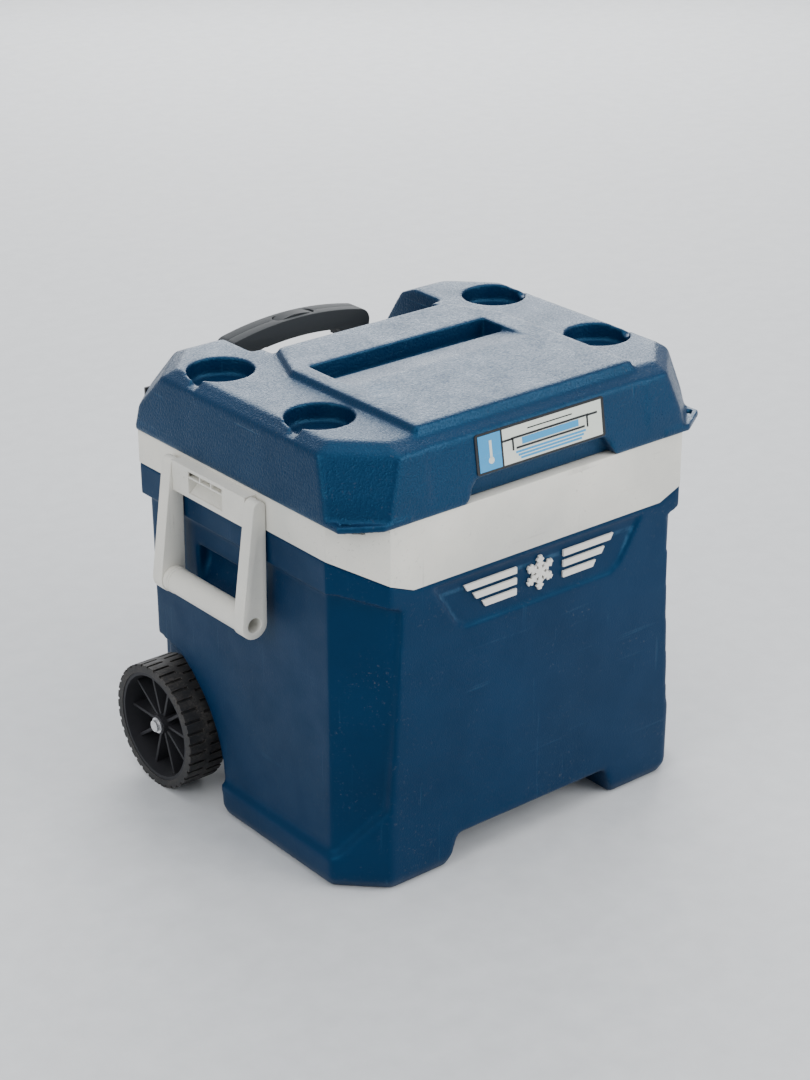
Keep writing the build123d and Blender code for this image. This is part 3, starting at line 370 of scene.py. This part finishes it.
PLASTICS = {
    # The wide edge mask lightens the tub's edges: partly rubbed wear, partly a painted edge
    # highlight.
    "tub_blue": dict(
        base="shell", other="shell_dark", worn_and_highlight=(0.05, 0.13, 0.22), rough=(0.38, 0.5),
        grain=600.0, grain_depth=0.0003, edge_wear_and_highlight=0.5, edge=0.004, edge_range=(0.995, 0.9),
        dirt_amount=0.3, scratch=0.14, gleam=0.3, tint=(0.18, 0.6, 1.0)),
    # The wide edge mask lightens the lid's edges and cup rims: partly rubbed wear, partly a
    # painted edge highlight.
    "lid_blue": dict(
        base="shell", other="shell_dark", worn_and_highlight=(0.06, 0.16, 0.27), rough=(0.32, 0.44),
        grain=430.0, grain_depth=0.0011, edge_wear_and_highlight=0.75, edge=0.0045, edge_range=(0.995, 0.9),
        sparkle=0.1, dirt_amount=0.25, scratch=0.2, gleam=0.55, tint=(0.22, 0.62, 1.0)),
    "cream": dict(
        base="cream", other=(0.61, 0.6, 0.55), worn_and_highlight=(0.36, 0.34, 0.3), rough=(0.4, 0.55),
        grain=800.0, edge_wear_and_highlight=0.3, edge=0.001, dirt=(0.13, 0.11, 0.08), dirt_amount=0.6,
        scratch=0.35, rounding=0.0008),
    "badge_cream": dict(
        base="cream", other=(0.62, 0.61, 0.56), worn_and_highlight=(0.4, 0.38, 0.34), rough=(0.3, 0.4),
        edge_wear_and_highlight=0.2, edge=0.0006, dirt_amount=0.4, scratch=0.2, rounding=0.0006),
    "handle_black": dict(
        base=(0.003, 0.0034, 0.0045), other=(0.006, 0.0065, 0.008), worn_and_highlight=(0.05, 0.05, 0.055),
        rough=(0.4, 0.55), edge_wear_and_highlight=0.5, edge=0.001, dirt_amount=0.3, scratch=0.3,
        rounding=0.0012, gleam=0.15),
    "wheel_black": dict(
        base="black", other=(0.018, 0.018, 0.02), worn_and_highlight=(0.16, 0.15, 0.14), rough=(0.32, 0.5),
        edge_wear_and_highlight=0.6, edge=0.0012, dirt_amount=0.6, scratch=0.3, rounding=0.001),
    "hinge_black": dict(
        base=(0.02, 0.02, 0.022), other=(0.028, 0.028, 0.03), worn_and_highlight=(0.1, 0.1, 0.1), edge_wear_and_highlight=0.4,
        edge=0.0008, rounding=0.0006),
    "liner_white": dict(
        base="liner", other=(0.78, 0.8, 0.79), worn_and_highlight=(0.6, 0.6, 0.58), rough=(0.18, 0.28),
        grain=200.0, grain_depth=0.00005, edge_wear_and_highlight=0.1, dirt_amount=0.12, scratch=0.12,
        rounding=0.003),
    "drain_white": dict(
        base=(0.6, 0.6, 0.57), other=(0.55, 0.55, 0.52), worn_and_highlight=(0.4, 0.38, 0.34), edge_wear_and_highlight=0.3,
        edge=0.0008, dirt_amount=0.5, rounding=0.0006),
    "print_black": dict(
        base=(0.008, 0.009, 0.012), other=(0.012, 0.013, 0.016), worn_and_highlight=(0.1, 0.1, 0.1),
        rough=(0.14, 0.24), grain=200.0, grain_depth=0.00003, edge_wear_and_highlight=0.2, edge=0.0005,
        dirt_amount=0.2, scratch=0.15),
    "print_blue": dict(
        base=(0.04, 0.3, 0.6), other=(0.05, 0.34, 0.64), worn_and_highlight=(0.2, 0.4, 0.6),
        rough=(0.14, 0.24), grain=200.0, grain_depth=0.00003, edge_wear_and_highlight=0.1, edge=0.0004,
        dirt_amount=0.2, scratch=0.15),
    "print_pale": dict(
        base=(0.7, 0.74, 0.66), other=(0.66, 0.7, 0.62), worn_and_highlight=(0.4, 0.4, 0.38),
        rough=(0.14, 0.24), grain=200.0, grain_depth=0.00003, edge_wear_and_highlight=0.1, edge=0.0004,
        dirt_amount=0.3, scratch=0.15),
}
METALS = {
    "steel": dict(
        base=(0.5, 0.5, 0.51), other=(0.42, 0.42, 0.43), rough=(0.2, 0.38),
        stretch=(0.04, 1, 1)),
    "tube_metal": dict(
        base=(0.42, 0.43, 0.45), other=(0.36, 0.37, 0.39), rough=(0.26, 0.42),
        stretch=(1, 1, 0.02)),
}
RUBBERS = {
    "tread": dict(base=(0.014, 0.014, 0.015), dust=(0.16, 0.14, 0.12), dust_amount=0.55),
    "seal": dict(base=(0.06, 0.06, 0.065), dust=(0.2, 0.2, 0.2), dust_amount=0.15),
}


def finish(key):
    """The material of a finish, made once; a colour given by name is one of the settings."""
    made = bpy.data.materials.get(key)
    if made:
        return made
    if key == "foam":
        return foam(key)
    if key in METALS:
        return metal(key, **METALS[key])
    if key in RUBBERS:
        return rubber(key, **RUBBERS[key])
    values = dict(PLASTICS[key])
    for part in ("base", "other"):
        if isinstance(values[part], str):
            values[part] = tuple(getattr(colours(), values[part]))
    return plastic(key, **values)


def wear_finish(obj, key):
    obj.data.materials.clear()
    obj.data.materials.append(finish(key))


# ------------------------------------------------------------------ mesh helpers
def pick_only(obj):
    bpy.ops.object.select_all(action="DESELECT")
    obj.select_set(True)
    bpy.context.view_layer.objects.active = obj


def edit(obj, *steps):
    """Runs edit mode operators on a mesh with everything selected."""
    pick_only(obj)
    bpy.ops.object.mode_set(mode="EDIT")
    bpy.ops.mesh.select_all(action="SELECT")
    for step in steps:
        step()
    bpy.ops.object.mode_set(mode="OBJECT")


def apply_modifiers(obj):
    pick_only(obj)
    for modifier in list(obj.modifiers):
        bpy.ops.object.modifier_apply(modifier=modifier.name)


def merged_copy(node_name, piece_name):
    """Copy of a node's mesh with its corners welded and its flats cleaned."""
    source = NODES[node_name]
    mesh = source.data.copy()
    obj = bpy.data.objects.new(piece_name, mesh)
    bpy.context.scene.collection.objects.link(obj)
    normals = mesh.attributes.get("custom_normal")
    if normals:
        mesh.attributes.remove(normals)
    edit(
        obj,
        lambda: bpy.ops.mesh.remove_doubles(threshold=WELD),
        lambda: bpy.ops.mesh.dissolve_limited(angle_limit=FLAT_ANGLE),
    )
    return obj


def smooth_flats(obj, angle):
    """Smooth shading with sharp edges past an angle in degrees."""
    pick_only(obj)
    bpy.ops.object.shade_smooth_by_angle(angle=math.radians(angle))


def soften(obj, width, segments, angle=24.0):
    """Rounds a moulding's edges that turn by more than an angle in degrees with real faces."""
    rounding = obj.modifiers.new("edges", "BEVEL")
    rounding.width = width
    rounding.segments = segments
    rounding.limit_method = "ANGLE"
    rounding.angle_limit = math.radians(angle)
    apply_modifiers(obj)
    smooth_flats(obj, 30)


def spout_frame(cup_x, cup_y):
    """Cup middle, direction of its spout and the direction across it."""
    lean_x, lean_y = SPOUT_LEAN
    out = Vector((math.copysign(lean_x, cup_x), lean_y, 0)).normalized()
    return Vector((cup_x, cup_y, 0)), out, Vector((-out.y, out.x, 0))


def spout_block(cup, near, far, half, low, high):
    """Block along a cup's spout, between two distances from the cup's middle."""
    middle, out, across = spout_frame(*cup)
    place = middle + out * ((near + far) / 2) + Vector((0, 0, (low + high) / 2))
    turn = Matrix((out, across, Vector((0, 0, 1)))).transposed().to_4x4()
    return slab("spout", place, (far - near) / 2, half, high - low, turn)


def carve_spouts(obj, half, low):
    """Takes a block along each cup's spout out of a piece."""
    for cup in CUP_SPOTS:
        cutter = spout_block(cup, *SPOUT_CUT, half, low, ABOVE_LID)
        cut = obj.modifiers.new("spout", "BOOLEAN")
        cut.operation = "DIFFERENCE"
        cut.solver = "EXACT"
        cut.object = cutter
        apply_modifiers(obj)
        bpy.data.objects.remove(cutter)


def cut_spouts(obj):
    """Cuts a shallow spout from each cup's rim to the lid's shoulder, and closes its floor."""
    carve_spouts(obj, SPOUT_HALF_WIDTH, SPOUT_FLOOR)
    floors = [
        spout_block(cup, *SPOUT_FLOOR_REACH, SPOUT_FLOOR_HALF_WIDTH, SPOUT_FLOOR_BASE,
                    SPOUT_FLOOR)
        for cup in CUP_SPOTS
    ]
    return join([obj, *floors], obj.name)


def remade(node_name, piece_name, voxel, passes, ratio, softness, shape=None):
    """Copy of a node with its edges rounded evenly; softness(co) says how much where.

    The skin is made anew in facets of the voxel's size, smoothed in a number of passes and
    thinned to a ratio of its faces. The shape, where given, changes the copy first.
    """
    obj = merged_copy(node_name, piece_name)
    if shape is not None:
        obj = shape(obj)
    remesh = obj.modifiers.new("skin", "REMESH")
    remesh.mode = "VOXEL"
    remesh.voxel_size = voxel
    remesh.use_smooth_shade = True
    apply_modifiers(obj)
    soft = obj.modifiers.new("soft", "SMOOTH")
    soft.factor = 0.5
    soft.iterations = passes
    group = obj.vertex_groups.new(name="soft")
    for vertex in obj.data.vertices:
        amount = softness(vertex.co)
        if amount > 0:
            group.add([vertex.index], amount, "REPLACE")
    soft.vertex_group = "soft"
    fewer = obj.modifiers.new("fewer", "DECIMATE")
    fewer.ratio = ratio
    apply_modifiers(obj)
    weigh = obj.modifiers.new("normals", "WEIGHTED_NORMAL")
    weigh.weight = 100
    apply_modifiers(obj)
    return obj


def take_over(obj, node_names, key):
    """Finishes a piece and lets it stand for its nodes."""
    wear_finish(obj, key)
    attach(obj, NODES[node_names[0]]["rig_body"])
    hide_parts(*node_names)


def slab(name, centre, half_x, half_y, thick, turn):
    """Turned block with its place in its mesh."""
    bpy.ops.object.select_all(action="DESELECT")
    bpy.ops.mesh.primitive_cube_add(size=1.0, location=(0, 0, 0))
    obj = bpy.context.active_object
    obj.name = name
    place = Matrix.Translation(centre) @ turn @ Matrix.Diagonal((2 * half_x, 2 * half_y, thick, 1))
    obj.data.transform(place)
    return obj


def join(objs, name):
    """One object out of several."""
    bpy.ops.object.select_all(action="DESELECT")
    for item in objs:
        item.select_set(True)
    bpy.context.view_layer.objects.active = objs[0]
    if len(objs) > 1:
        bpy.ops.object.join()
    obj = bpy.context.active_object
    obj.name = name
    return obj


# ------------------------------------------------------------------ pieces
class COOLER_OT_tub(bpy.types.Operator):
    """Rounds the tub's outer shell and finishes it in scuffed blue, its edges lightened partly by
    wear and partly by a painted edge highlight, with its cream badge
    """

    bl_idname = "cooler.tub"
    bl_label = "Tub shell"

    def execute(self, context):
        def softness(co):
            """The feet are the roundest, and the recess of the badge is the crispest."""
            bottom, top = BADGE_HEIGHTS
            if abs(co.x) < BADGE_HALF_WIDTH and bottom < co.z < top and co.y < BADGE_FRONT:
                return TUB_BADGE_SOFT
            down = min(1.0, max(0.0, (TUB_FEET_TOP - co.z) / TUB_FEET_RISE))
            return TUB_SOFT + (1 - TUB_SOFT) * down

        obj = remade("outer_shell", "tub_shell", sizes().tub_grain, passes=18, ratio=0.34,
                     softness=softness)
        take_over(obj, ["outer_shell"], "tub_blue")
        wear_finish(NODES["front_badge"], "badge_cream")
        return {"FINISHED"}


class COOLER_OT_collar(bpy.types.Operator):
    """Rounds the cream collar round the tub's rim"""

    bl_idname = "cooler.collar"
    bl_label = "Collar"

    def execute(self, context):
        obj = merged_copy("collar_band", "collar")
        soften(obj, sizes().trim_edge, sizes().segments)
        take_over(obj, ["collar_band"], "cream")
        return {"FINISHED"}


class COOLER_OT_lid(bpy.types.Operator):
    """Rounds the lid's shell, cuts the spouts of its cups and finishes it in stippled blue"""

    bl_idname = "cooler.lid"
    bl_label = "Lid"

    def execute(self, context):
        def softness(co):
            """The rim below stays as modelled; cups, spouts and the long slot stay crisp."""
            rise = min(1.0, max(0.0, (co.z - LID_RIM) / LID_RIM_RISE))
            reach = min(math.hypot(co.x - x, co.y - y) for x, y in CUP_SPOTS)
            if reach < CUP_REACH and co.z > CUP_FLOOR:
                return rise * CRISP
            front, rear = SLOT_DEPTHS
            if abs(co.x) < SLOT_HALF_LENGTH and front < co.y < rear and co.z > SLOT_FLOOR:
                return rise * CRISP
            near, far = SPOUT_ZONE
            for cup in CUP_SPOTS:
                middle, out, across = spout_frame(*cup)
                off = Vector((co.x, co.y, 0)) - middle
                beside = abs(off.dot(across)) < SPOUT_ZONE_HALF_WIDTH
                if near < off.dot(out) < far and beside and co.z > SPOUT_ZONE_BASE:
                    return rise * CRISP
            return rise

        obj = remade("lid_shell", "lid_cover", sizes().lid_grain, passes=20, ratio=0.5,
                     softness=softness, shape=cut_spouts)
        take_over(obj, ["lid_shell"], "lid_blue")
        filling = merged_copy("lid_foam", "lid_filling")
        carve_spouts(filling, SPOUT_FOAM_HALF_WIDTH, SPOUT_FOAM_TOP)
        take_over(filling, ["lid_foam"], "foam")
        return {"FINISHED"}


class COOLER_OT_label(bpy.types.Operator):
    """Prints the lid's label: a thermometer, a tray and plain stripes"""

    bl_idname = "cooler.label"
    bl_label = "Lid label"

    def execute(self, context):
        wear_finish(NODES["lid_label"], "print_black")
        low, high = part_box("lid_label")
        middle = (low + high) / 2
        outward = Vector((0, -65, 10)).normalized()
        up = Vector((0, 10, 65)).normalized()
        across = Vector((1, 0, 0))
        turn = Matrix((across, up, outward)).transposed().to_4x4()

        def spot(u, v, layer=1.0):
            """A place on the label, across and up from its middle, in a layer of print."""
            return middle + across * u + up * v + outward * (LABEL_SKIN + PRINT_FILM * layer)

        def film(name, u, v, half_u, half_v, layer=2.0):
            return slab(name, spot(u, v, layer), half_u, half_v, PRINT_FILM, turn)

        pale = [
            film("panel", 0.0155, 0, 0.0665, 0.0185, 1.0),
            film("bulb_stem", -0.067, 0.003, 0.0016, 0.009),
        ]
        blue = [film("square", -0.068, 0, 0.0145, 0.0185, 1.0)]
        for row in range(3):
            blue.append(
                film("stripe", 0.012, -0.0085 - 0.0034 * row, 0.047 - 0.003 * row, 0.0011))
        blue.append(film("drink", 0.012, 0.0015, 0.038, 0.0035))
        black = [
            film("line", u, v, half_u, half_v, 2.2)
            for u, v, half_u, half_v in (
                (0.012, 0.0068, 0.052, 0.0011), (0.012, -0.0042, 0.046, 0.0011),
                (-0.038, 0.0008, 0.0011, 0.0066), (0.062, 0.0008, 0.0011, 0.0066),
                (-0.045, 0.0064, 0.007, 0.0011), (0.069, 0.0064, 0.007, 0.0011),
                (0.012, 0.0125, 0.03, 0.0006),
            )
        ]
        bpy.ops.object.select_all(action="DESELECT")
        bpy.ops.mesh.primitive_cylinder_add(
            vertices=24, radius=1.0, depth=1.0, location=(0, 0, 0))
        bulb = bpy.context.active_object
        bulb.data.transform(Matrix.Translation(spot(-0.067, -0.0085, 2.0)) @ turn
                            @ Matrix.Diagonal((0.0036, 0.0036, PRINT_FILM, 1)))
        pale.append(bulb)
        for objs, name, key in (
            (pale, "print_pale", "print_pale"), (blue, "print_blue", "print_blue"),
            (black, "print_lines", "print_black"),
        ):
            obj = join(objs, name)
            wear_finish(obj, key)
            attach(obj, "lid")
        return {"FINISHED"}


class COOLER_OT_bails(bpy.types.Operator):
    """Rounds the side bails and adds the seams of the sleeves over their grips"""

    bl_idname = "cooler.bails"
    bl_label = "Side bails"

    def execute(self, context):
        for side in SIDES:
            bail = merged_copy(f"bail_frame_{side}", f"bail_{side}")
            soften(bail, sizes().trim_edge * 1.4, sizes().segments)
            take_over(bail, [f"bail_frame_{side}"], "cream")
            wear_finish(NODES[f"bail_grip_{side}"], "cream")
            low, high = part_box(f"bail_grip_{side}")
            middle = (low + high) / 2
            radius = (high.z - low.z) / 2
            rings = []
            for inset in SEAM_INSETS:
                bpy.ops.object.select_all(action="DESELECT")
                bpy.ops.mesh.primitive_torus_add(
                    major_radius=radius, minor_radius=SEAM_RADIUS,
                    major_segments=48, minor_segments=8, rotation=(math.pi / 2, 0, 0),
                    location=(middle.x, high.y - inset, middle.z))
                rings.append(bpy.context.active_object)
                bpy.ops.object.transform_apply(location=True, rotation=True, scale=True)
            seam = join(rings, f"sleeve_seam_{side}")
            wear_finish(seam, "cream")
            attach(seam, f"bail_{side}")
        return {"FINISHED"}


class COOLER_OT_handle(bpy.types.Operator):
    """Rounds the tow handle's grip, and finishes its tubes, guides and spring"""

    bl_idname = "cooler.handle"
    bl_label = "Tow handle"

    def execute(self, context):
        for half in ("front", "rear"):
            grip = merged_copy(f"grip_{half}", f"handle_grip_{half}")
            soften(grip, sizes().grip_edge, sizes().segments, angle=40.0)
            take_over(grip, [f"grip_{half}"], "handle_black")
        for name in ("handle_bezel", "handle_foot", "release_button"):
            wear_finish(NODES[name], "handle_black")
        for side in SIDES:
            for name in ("outer_bushing", "mid_bushing", "mid_guide", "inner_guide"):
                wear_finish(NODES[f"{name}_{side}"], "handle_black")
            for name in ("outer_tube", "mid_tube", "inner_tube"):
                wear_finish(NODES[f"{name}_{side}"], "tube_metal")
        wear_finish(NODES["handle_screws"], "steel")
        spring = merged_copy("button_spring", "handle_button_coil")
        smooth_flats(spring, 40)
        take_over(spring, ["button_spring"], "steel")
        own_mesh(spring)
        return {"FINISHED"}


class COOLER_OT_wheels(bpy.types.Operator):
    """Finishes wheels, tyres and axle"""

    bl_idname = "cooler.wheels"
    bl_label = "Wheels"

    def execute(self, context):
        for side in SIDES:
            for name, key in (
                ("wheel", "wheel_black"), ("tyre", "tread"), ("wheel_spacer", "wheel_black"),
                ("axle_block", "wheel_black"), ("axle_cap", "steel"),
            ):
                wear_finish(NODES[f"{name}_{side}"], key)
        wear_finish(NODES["axle"], "steel")
        return {"FINISHED"}


class COOLER_OT_inside(bpy.types.Operator):
    """Finishes liner, foam, seal, hinges and drain"""

    bl_idname = "cooler.inside"
    bl_label = "Liner and fittings"

    def execute(self, context):
        for name, key in (
            ("inner_liner", "liner_white"), ("lid_liner", "liner_white"), ("foam_core", "foam"),
            ("lid_gasket", "seal"), ("drain_gasket", "seal"), ("drain_spout", "drain_white"),
            ("drain_nut", "drain_white"), ("drain_cap", "drain_white"),
            ("tub_hinge_screws", "steel"), ("lid_hinge_screws", "steel"),
        ):
            wear_finish(NODES[name], key)
        for side in SIDES:
            for name, key in (
                ("tub_hinge", "hinge_black"), ("lid_hinge", "hinge_black"), ("hinge_pin", "steel"),
            ):
                wear_finish(NODES[f"{name}_{side}"], key)
        return {"FINISHED"}


class COOLER_OT_stage(bpy.types.Operator):
    """Sets the pale floor, the soft light and the camera"""

    bl_idname = "cooler.stage"
    bl_label = "Stage"

    def execute(self, context):
        bpy.ops.object.select_all(action="DESELECT")
        bpy.ops.mesh.primitive_plane_add(size=14.0, location=(0, 0, 0))
        floor = bpy.context.active_object
        floor.name = "floor"
        mat, tree, shader = new_material("floor_pale")
        coords = node(tree, "ShaderNodeTexCoord").outputs["Object"]
        speck = noise(tree, coords, 30.0, 5.0)
        pale = mix(tree, ramp(tree, speck, 0.3, 0.7), (0.62, 0.63, 0.64), (0.68, 0.69, 0.7))
        tree.links.new(pale, shader.inputs["Base Color"])
        tree.links.new(ramp(tree, speck, 0.3, 0.7, 0.7, 0.85), shader.inputs["Roughness"])
        floor.data.materials.append(mat)

        world = bpy.data.worlds.new("sky")
        context.scene.world = world
        world.use_nodes = True
        sky = world.node_tree
        back = sky.nodes["Background"]
        back.inputs["Strength"].default_value = 0.75
        direction = node(sky, "ShaderNodeTexCoord").outputs["Generated"]
        split = node(sky, "ShaderNodeSeparateXYZ")
        sky.links.new(direction, split.inputs["Vector"])
        height = ramp(sky, split.outputs["Z"], 0.0, 0.9)
        sky.links.new(mix(sky, height, (0.55, 0.6, 0.64), (1.0, 1.04, 1.1)), back.inputs["Color"])

        for name, place, size, energy in (
            ("back_card", (2.3, 2.9, 2.1), 3.4, 170.0),
            ("top_card", (0.0, -0.5, 3.0), 2.6, 34.0),
            ("front_card", (1.3, -2.6, 1.7), 2.2, 70.0),
            ("left_card", (-2.7, -0.4, 1.6), 1.8, 34.0),
        ):
            lamp = bpy.data.lights.new(name, "AREA")
            lamp.size = size
            lamp.energy = energy
            obj = bpy.data.objects.new(name, lamp)
            obj.location = place
            aim = Vector(LIGHT_AIM) - Vector(place)
            obj.rotation_euler = aim.to_track_quat("-Z", "Y").to_euler()
            context.scene.collection.objects.link(obj)

        lens = bpy.data.cameras.new("view")
        lens.sensor_fit = "VERTICAL"
        lens.sensor_height = 36.0
        lens.lens = LENS
        lens.clip_end = 50.0
        camera = bpy.data.objects.new("view", lens)
        turn = Matrix((CAMERA_RIGHT, CAMERA_UP, CAMERA_BACK)).transposed().to_4x4()
        camera.matrix_world = Matrix.Translation(CAMERA_PLACE) @ turn
        context.scene.collection.objects.link(camera)
        context.scene.camera = camera
        return {"FINISHED"}


class COOLER_PT_panel(bpy.types.Panel):
    """Lists the cooler's pieces"""

    bl_idname = "COOLER_PT_panel"
    bl_label = "Wheeled Cooler"
    bl_space_type = "VIEW_3D"
    bl_region_type = "UI"
    bl_category = "Cooler"

    def draw(self, context):
        layout = self.layout
        for group in (context.scene.cooler_colours, context.scene.cooler_sizes):
            column = layout.column(align=True)
            for name in group.bl_rna.properties.keys():
                if name not in ("rna_type", "name"):
                    column.prop(group, name)
        for operator in OPERATORS:
            layout.operator(operator.bl_idname)


OPERATORS = (
    COOLER_OT_tub, COOLER_OT_collar, COOLER_OT_lid, COOLER_OT_label, COOLER_OT_bails,
    COOLER_OT_handle, COOLER_OT_wheels, COOLER_OT_inside, COOLER_OT_stage,
)
CLASSES = (CoolerColours, CoolerSizes, *OPERATORS, COOLER_PT_panel)


def register():
    for cls in CLASSES:
        bpy.utils.register_class(cls)
    bpy.types.Scene.cooler_colours = PointerProperty(type=CoolerColours)
    bpy.types.Scene.cooler_sizes = PointerProperty(type=CoolerSizes)


def unregister():
    del bpy.types.Scene.cooler_sizes
    del bpy.types.Scene.cooler_colours
    for cls in reversed(CLASSES):
        bpy.utils.unregister_class(cls)


def main():
    register()
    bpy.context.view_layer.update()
    bpy.ops.cooler.tub()
    bpy.ops.cooler.collar()
    bpy.ops.cooler.lid()
    bpy.ops.cooler.label()
    bpy.ops.cooler.bails()
    bpy.ops.cooler.handle()
    bpy.ops.cooler.wheels()
    bpy.ops.cooler.inside()
    bpy.ops.cooler.stage()


if __name__ == "__main__":
    main()
